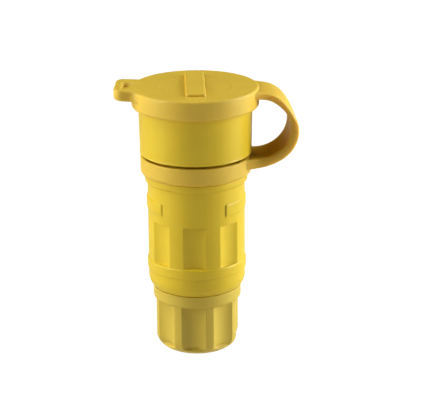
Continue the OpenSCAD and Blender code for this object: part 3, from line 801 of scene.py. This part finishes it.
def rectangle_points(half_x, half_y, corner):
    """A rectangle with rounded corners, the same number of points whatever its size."""
    signs = ((1, 1), (-1, 1), (-1, -1), (1, -1))

    def corner_point(number, share):
        sx, sy = signs[number % 4]
        a = math.pi / 2 * (number + share)
        return np.array([sx * (half_x - corner) + corner * math.cos(a),
                         sy * (half_y - corner) + corner * math.sin(a)])

    points = []
    for number in range(4):
        points += [corner_point(number, k / CORNER_STEPS) for k in range(CORNER_STEPS + 1)]
        start, end = points[-1], corner_point(number + 1, 0)
        points += [start + (end - start) * place for place in SIDE_PLACES]
    return np.array(points)


def make_cap_bar():
    """The raised bar on the cap: rings of a rounded rectangle that step in over its rounded edge."""
    top_z = CAP_TOP_Z + BAR_RISE
    edge_z = top_z - BAR_EDGE
    steps = [(-flare, z) for flare, z in zip(BAR_FLARES, (RECESS_Z - BAR_SINK, RECESS_Z, edge_z))]
    for a in quarter_turn(BAR_EDGE_STEPS)[1:]:
        steps.append((BAR_EDGE * (1 - math.cos(a)), edge_z + BAR_EDGE * math.sin(a)))
    steps += [(inset, top_z) for inset in BAR_TOP_INSETS]
    rows = []
    for inset, z in steps:
        corner = max(BAR_CORNER - inset, BAR_LEAST_CORNER)
        plan = rectangle_points(BAR_WIDTH / 2 - inset, BAR_LENGTH / 2 - inset, corner)
        rows.append(np.column_stack([plan[:, 0], plan[:, 1] + BAR_OFFSET, np.full(len(plan), z)]))
    points = turn_about_axis(np.concatenate(rows), CAP_TURN_DEG)
    return new_piece("cap_bar", points, capped_faces(len(rows), len(rows[0])))


# Strap

STRAP_CENTRE = np.array([STRAP_LOOP_X, (STRAP_FOOT_Z + STRAP_TOP_Z) / 2])
STRAP_JOIN = 0.4
STRAP_FOOT_ROWS = 8
STRAP_LOOP_ROWS = 61
STRAP_TOP_ROWS = 6


def ellipse_reach(start, way, ellipse):
    """Distance from a point inside an ellipse to its line, along a direction."""
    x, z, half_x, half_z = ellipse
    px, pz = (start[0] - x) / half_x, (start[1] - z) / half_z
    dx, dz = way[0] / half_x, way[1] / half_z
    a, b, c = dx * dx + dz * dz, px * dx + pz * dz, px * px + pz * pz - 1
    return (-b + math.sqrt(b * b - a * c)) / a


def strap_root(x, side):
    """Inner and outer point of the straight run at the ring (side -1) or at the cap (side 1)."""
    start = np.array([x, STRAP_CENTRE[1]])
    outside = start + [0, side * ellipse_reach(start, (0, side), STRAP_OUTSIDE)]
    return np.array([x, STRAP_INSIDE[1] + side * STRAP_INSIDE[3]]), outside


def strap_walls():
    """Inner and outer points of the strap in its own upright plane, from the ring to the cap."""
    join_x = STRAP_LOOP_X - STRAP_JOIN
    pairs = [strap_root(x, -1) for x in np.linspace(RING_R - STRAP_SINK, join_x, STRAP_FOOT_ROWS)]
    for a in np.radians(np.linspace(-90, 90, STRAP_LOOP_ROWS)):
        way = np.array([math.cos(a), math.sin(a)])
        upper = smooth_share(0.5 + a / math.radians(STRAP_LEAN_SPAN_DEG))
        lean = STRAP_LEAN * (STRAP_LOW_LEAN + (1 - STRAP_LOW_LEAN) * upper)
        change = STRAP_FULLER * math.sin(2 * min(a, 0)) ** 2 - lean * math.sin(4 * a)
        inside = STRAP_CENTRE + way * ellipse_reach(STRAP_CENTRE, way, STRAP_INSIDE)
        outside = STRAP_CENTRE + way * ellipse_reach(STRAP_CENTRE, way, STRAP_OUTSIDE) * (1 + change)
        pairs.append((inside, outside))
    pairs += [strap_root(x, 1) for x in np.linspace(join_x, CAP_R - STRAP_SINK, STRAP_TOP_ROWS)]
    return pairs


def make_strap():
    """A flat band with rounded edges that widens into the ring and the cap and follows their rounds.

    Over the upper half of the loop its front edge lies a little further in than its rear edge.
    """
    rows = []
    for inside, outside in strap_walls():
        middle, across = (inside + outside) / 2, outside - inside
        thick = np.linalg.norm(across)
        root_r = RING_R if middle[1] < STRAP_OUTSIDE[1] else CAP_R
        near = max(STRAP_FLARE_START + root_r - middle[0], 0)
        flare = STRAP_FLARE_R - math.sqrt(STRAP_FLARE_R ** 2 - near ** 2)
        section = rectangle_points(thick / 2, STRAP_WIDTH / 2 + flare, STRAP_EDGE)
        crown = STRAP_CROWN * (1 - (section[:, 0] * 2 / thick) ** 2)
        y = section[:, 1] + np.sign(section[:, 1]) * crown
        bend = (root_r - np.sqrt(root_r ** 2 - y ** 2)) * min(near / STRAP_FLARE_START, 1)
        turn = math.atan2(middle[1] - STRAP_CENTRE[1], middle[0] - STRAP_CENTRE[0])
        twist = STRAP_TWIST * math.sin(2 * min(max(turn, 0), math.pi / 2)) ** 2
        reach = section[:, 0] + twist * np.where(y < 0, 1, STRAP_REAR_TWIST) * y
        x = middle[0] + reach * across[0] / thick - bend
        z = middle[1] + reach * across[1] / thick
        rows.append(np.column_stack([x, y, z]))
    points = turn_about_axis(np.concatenate(rows), STRAP_TURN_DEG)
    return new_piece("strap_moulding", points, capped_faces(len(rows), len(rows[0])))


# Materials

# Noise scales are in waves per metre
NOISE_ROUGHNESS = 0.55
CLOUD_DETAIL = 4
SHEEN_DETAIL = 3
GRAIN_DETAIL = 2
CLOUD_SCALE = 45
CLOUD_STOPS = (0.3, 0.5, 0.7)
SHEEN_SCALE = 120
SHEEN_SPREAD = 0.06
GRAIN_HEIGHT = 0.05 * MM
PLASTIC_IOR = 1.5
SCATTER_TINT = (1.0, 0.55, 0.1)
METAL_CLOUD_SCALE = 300
METAL_CLOUD_STOPS = (0.35, 0.65)
METAL_DARK = 0.86
POLISH_SCALE = 900
POLISH_SPREAD = (-0.08, 0.1)
DRAWN_SCALE = 4000
DRAWN_STRENGTH = 0.15
DRAWN_HEIGHT = 0.02 * MM


class Nodes:
    """A new material's node tree, its shader, and the object's own coordinates."""

    def __init__(self, name):
        self.material = bpy.data.materials.new(name)
        self.material.use_nodes = True
        self.tree = self.material.node_tree
        self.shader = self.tree.nodes["Principled BSDF"]
        self.place = self.tree.nodes.new("ShaderNodeTexCoord").outputs["Object"]

    def noise(self, scale, detail):
        """Noise between 0 and 1."""
        node = self.tree.nodes.new("ShaderNodeTexNoise")
        node.inputs["Scale"].default_value = scale
        node.inputs["Detail"].default_value = detail
        node.inputs["Roughness"].default_value = NOISE_ROUGHNESS
        self.tree.links.new(self.place, node.inputs["Vector"])
        return node.outputs["Fac"]

    def colour(self, value, stops, colours):
        """Sets the base colour from a value by way of a ramp with these colours at these stops."""
        node = self.tree.nodes.new("ShaderNodeValToRGB")
        elements = node.color_ramp.elements
        while len(elements) < len(stops):
            elements.new(0.5)
        for element, stop, colour in zip(elements, stops, colours):
            element.position = stop
            element.color = (*colour, 1)
        self.tree.links.new(value, node.inputs["Fac"])
        self.tree.links.new(node.outputs["Color"], self.shader.inputs["Base Color"])

    def roughness(self, value, low, high):
        """Sets the roughness from a value, between low and high."""
        node = self.tree.nodes.new("ShaderNodeMapRange")
        node.inputs["To Min"].default_value = low
        node.inputs["To Max"].default_value = high
        self.tree.links.new(value, node.inputs["Value"])
        self.tree.links.new(node.outputs["Result"], self.shader.inputs["Roughness"])

    def bump(self, value, strength, height):
        """Roughens the surface by a value, over a height in metres."""
        node = self.tree.nodes.new("ShaderNodeBump")
        node.inputs["Strength"].default_value = strength
        node.inputs["Distance"].default_value = height
        self.tree.links.new(value, node.inputs["Height"])
        self.tree.links.new(node.outputs["Normal"], self.shader.inputs["Normal"])


def moulded(name, colour, spread, roughness, grain, grain_mm, scatter, scatter_mm=1.2):
    """Moulded rubber or plastic: a faintly cloudy colour, an uneven sheen and a fine spark-eroded grain."""
    nodes = Nodes(name)
    dark = tuple(c * (1 - spread) for c in colour)
    light = tuple(min(c * (1 + spread), 1) for c in colour)
    nodes.colour(nodes.noise(CLOUD_SCALE, CLOUD_DETAIL), CLOUD_STOPS, (dark, colour, light))
    sheen = nodes.noise(SHEEN_SCALE, SHEEN_DETAIL)
    nodes.roughness(sheen, roughness - SHEEN_SPREAD, roughness + SHEEN_SPREAD)
    nodes.bump(nodes.noise(1 / (grain_mm * MM), GRAIN_DETAIL), grain, GRAIN_HEIGHT)
    nodes.shader.inputs["IOR"].default_value = PLASTIC_IOR
    nodes.shader.inputs["Subsurface Weight"].default_value = scatter
    nodes.shader.inputs["Subsurface Radius"].default_value = SCATTER_TINT
    nodes.shader.inputs["Subsurface Scale"].default_value = scatter_mm * MM
    return nodes.material


def metal(name, colour, roughness):
    """Plated or stamped metal with an uneven polish and a fine grain."""
    nodes = Nodes(name)
    dark = tuple(c * METAL_DARK for c in colour)
    nodes.colour(nodes.noise(METAL_CLOUD_SCALE, CLOUD_DETAIL), METAL_CLOUD_STOPS, (dark, colour))
    polish = nodes.noise(POLISH_SCALE, SHEEN_DETAIL)
    nodes.roughness(polish, roughness + POLISH_SPREAD[0], roughness + POLISH_SPREAD[1])
    nodes.bump(nodes.noise(DRAWN_SCALE, GRAIN_DETAIL), DRAWN_STRENGTH, DRAWN_HEIGHT)
    nodes.shader.inputs["Metallic"].default_value = 1
    return nodes.material


def paint(piece, material):
    """Gives a piece its one material, in each slot it has, or in a new slot if it has none."""
    if piece.material_slots:
        for s in piece.material_slots:
            s.material = material
    else:
        piece.data.materials.append(material)


# Colour, its spread, roughness, the grain's strength and size, then how much light goes in and how deep
GRIP_YELLOW = moulded("grip_yellow", (0.80, 0.612, 0.040), 0.03, 0.40, 0.25, 0.35, 0.08)
CAP_YELLOW = moulded("cap_yellow", (0.81, 0.589, 0.086), 0.035, 0.50, 0.3, 0.35, 0.08)
STRAP_YELLOW = moulded("strap_yellow", (0.82, 0.58, 0.09), 0.035, 0.50, 0.3, 0.35, 0.6, 3)
NUT_YELLOW = moulded("nut_yellow", (0.725, 0.566, 0.09), 0.03, 0.48, 0.25, 0.4, 0.05)
BLACK_NYLON = moulded("black_nylon", (0.022, 0.022, 0.024), 0.12, 0.42, 0.3, 0.3, 0)
WHITE_NYLON = moulded("white_nylon", (0.62, 0.60, 0.54), 0.04, 0.45, 0.2, 0.3, 0.05)
BLACK_RUBBER = moulded("black_rubber", (0.03, 0.03, 0.031), 0.15, 0.7, 0.4, 0.4, 0)
BRASS = metal("brass", (0.72, 0.50, 0.20), 0.28)
STEEL = metal("plated_steel", (0.60, 0.59, 0.57), 0.26)

# Pieces

housing = make_housing()
paint(housing, GRIP_YELLOW)
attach(housing, "connector")
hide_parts("housing")

pillars = make_pillars()
paint(pillars, GRIP_YELLOW)
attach(pillars, "connector")

nut = make_nut()
paint(nut, NUT_YELLOW)
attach(nut, "nut")
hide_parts("compression_nut")

ring = make_ring()
paint(ring, CAP_YELLOW)
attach(ring, "connector")
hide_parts("retaining_ring")

cap = make_cap()
paint(cap, CAP_YELLOW)
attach(cap, "cap")
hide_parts("closure_cap")

bar = make_cap_bar()
paint(bar, CAP_YELLOW)
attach(bar, "cap")

strap = make_strap()
paint(strap, STRAP_YELLOW)
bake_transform(strap)
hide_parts("cap_strap")

# Nodes that keep their CAD shape
NODE_FINISH = {
    "friction_washer": WHITE_NYLON, "cord_grommet": BLACK_RUBBER, "front_insulator": BLACK_NYLON,
    "rear_insulator": BLACK_NYLON, "line_contact": BRASS, "neutral_contact": BRASS,
    "ground_contact": BRASS, "line_clamp": STEEL, "neutral_clamp": STEEL, "ground_clamp": STEEL,
    "terminal_screws": STEEL, "assembly_screws": STEEL, "threaded_inserts": BRASS,
    "module_gasket": BLACK_RUBBER, "mouth_seal": BLACK_RUBBER,
}
for node_name, finish in NODE_FINISH.items():
    paint(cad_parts[node_name], finish)

# Stage and light

FLOOR_HALF_M = 3
FLOOR_GREY = 0.1
FLOOR_ROUGHNESS = 0.9
FLOOR_GLOW = 0.92
FLOOR_LIGHT = 0.7
FLOOR_LIGHT_TINT = (1, 0.95, 0.98)
FLOOR_LIGHT_Z_M = 0.0002
WHITE = (1, 1, 1)
VIEW_GAMMA = 0.8

# Softboxes: azimuth from the camera's side and elevation in degrees; distance, width and height in metres;
# power in watts; tint
AIM = Vector((0, 0, 0.08))
SOFTBOXES = {
    "right_side": (85, 15, 0.9, 0.35, 0.7, 7.1, (0.98, 1.0, 1.15)),
    "right_rear": (112, 15, 0.9, 0.35, 0.7, 1.8, (0.9, 1.0, 1.25)),
    "right_high": (120, 40, 1.0, 0.6, 0.6, 2.9, (0.95, 1.0, 1.1)),
    "left_side": (-70, 15, 0.9, 0.35, 0.7, 4.6, WHITE),
    "left_rear": (-98, 15, 0.9, 0.35, 0.7, 1.7, WHITE),
    "left_high": (-90, 60, 1.0, 0.6, 0.6, 4.9, WHITE),
}


def make_floor(name, z, grey, glow, tint=WHITE):
    """A plain floor that also glows evenly."""
    h = FLOOR_HALF_M
    mesh = bpy.data.meshes.new(name)
    mesh.from_pydata([(-h, -h, z), (h, -h, z), (h, h, z), (-h, h, z)], [], [(0, 1, 2, 3)])
    floor = bpy.data.objects.new(name, mesh)
    bpy.context.scene.collection.objects.link(floor)
    material = bpy.data.materials.new(name)
    material.use_nodes = True
    shader = material.node_tree.nodes["Principled BSDF"]
    shader.inputs["Base Color"].default_value = (grey, grey, grey, 1)
    shader.inputs["Roughness"].default_value = FLOOR_ROUGHNESS
    shader.inputs["Specular IOR Level"].default_value = 0
    shader.inputs["Emission Color"].default_value = (*tint, 1)
    shader.inputs["Emission Strength"].default_value = glow
    mesh.materials.append(material)
    return floor


def softbox(name, azimuth, elevation, distance, width, height, power, tint):
    """A rectangular area light that faces the part."""
    data = bpy.data.lights.new(name, "AREA")
    data.shape = "RECTANGLE"
    data.size = width
    data.size_y = height
    data.energy = power
    data.color = tint
    light = bpy.data.objects.new(name, data)
    a, e = math.radians(azimuth), math.radians(elevation)
    away = Vector((math.sin(a) * math.cos(e), -math.cos(a) * math.cos(e), math.sin(e)))
    light.location = AIM + away * distance
    light.rotation_euler = (-away).to_track_quat("-Z", "Y").to_euler()
    bpy.context.scene.collection.objects.link(light)


# The floor that the camera sees throws no light on the part; a hidden one above it does
floor = make_floor("floor", 0, FLOOR_GREY, FLOOR_GLOW)
floor.visible_diffuse = False
floor.visible_glossy = False
floor_light = make_floor("floor_light", FLOOR_LIGHT_Z_M, 0, FLOOR_LIGHT, FLOOR_LIGHT_TINT)
floor_light.visible_camera = False
floor_light.visible_shadow = False
for box_name, box_spec in SOFTBOXES.items():
    softbox(box_name, *box_spec)

# A white world behind the floor, for the camera alone
world = bpy.data.worlds.new("world")
world.use_nodes = True
background = world.node_tree.nodes["Background"]
background.inputs["Color"].default_value = (*WHITE, 1)
background.inputs["Strength"].default_value = 1
bpy.context.scene.world = world
world.cycles_visibility.diffuse = False
world.cycles_visibility.glossy = False
world.cycles_visibility.transmission = False
bpy.context.scene.view_settings.view_transform = "Standard"
bpy.context.scene.view_settings.gamma = VIEW_GAMMA
